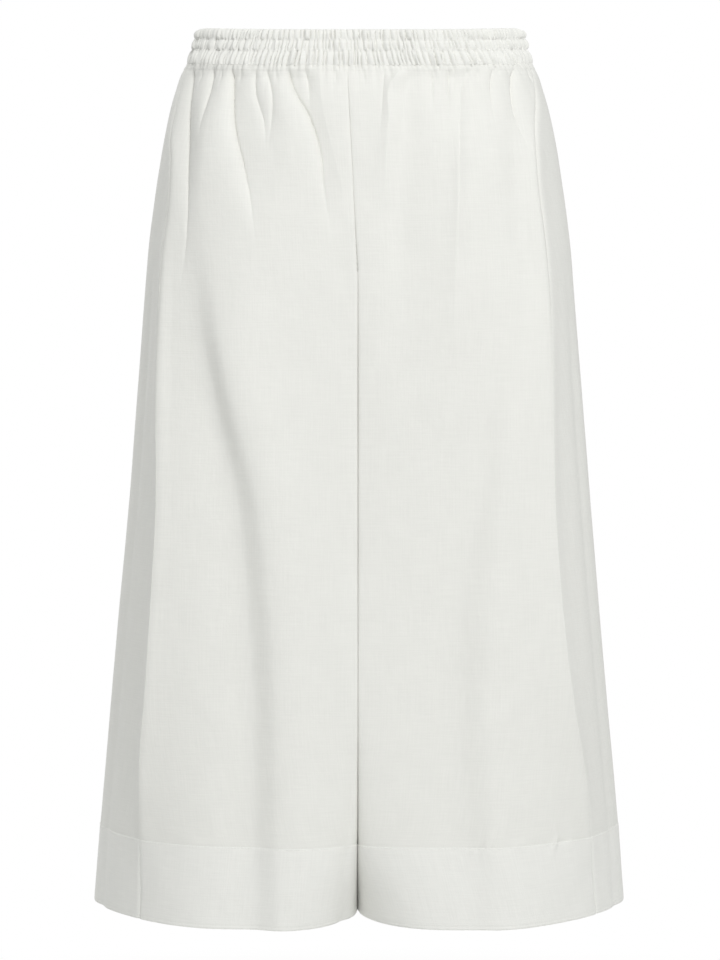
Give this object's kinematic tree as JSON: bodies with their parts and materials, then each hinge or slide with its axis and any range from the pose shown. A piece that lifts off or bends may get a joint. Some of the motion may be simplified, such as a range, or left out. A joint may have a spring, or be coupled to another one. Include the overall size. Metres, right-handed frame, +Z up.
{
  "type": "culottes",
  "caption": "Wide pull-on culottes in their worn, hollow shape, with a gathered elastic waistband in three stitched channels and a deep hem band round each leg.",
  "frame": {"origin": "middle of the waist, half way up the waistband, where the wearer's waist holds the garment", "axes": "+X the wearer's left, -Y the front, +Z up"},
  "size_m": [0.4679, 0.3136, 0.7776],
  "materials": {
    "panel_cloth": "plain-woven slub cotton and linen, off-white, matt",
    "hem_cloth": "the same cloth doubled, off-white, matt",
    "band_cloth": "the same cloth gathered over elastic, off-white, matt"
  },
  "bodies": {
    "root": {"waistband": "band_cloth", "front_left": "panel_cloth", "front_right": "panel_cloth", "back_left": "panel_cloth", "back_right": "panel_cloth", "hem_front_left": "hem_cloth", "hem_front_right": "hem_cloth", "hem_back_left": "hem_cloth", "hem_back_right": "hem_cloth"}
  },
  "joints": []
}
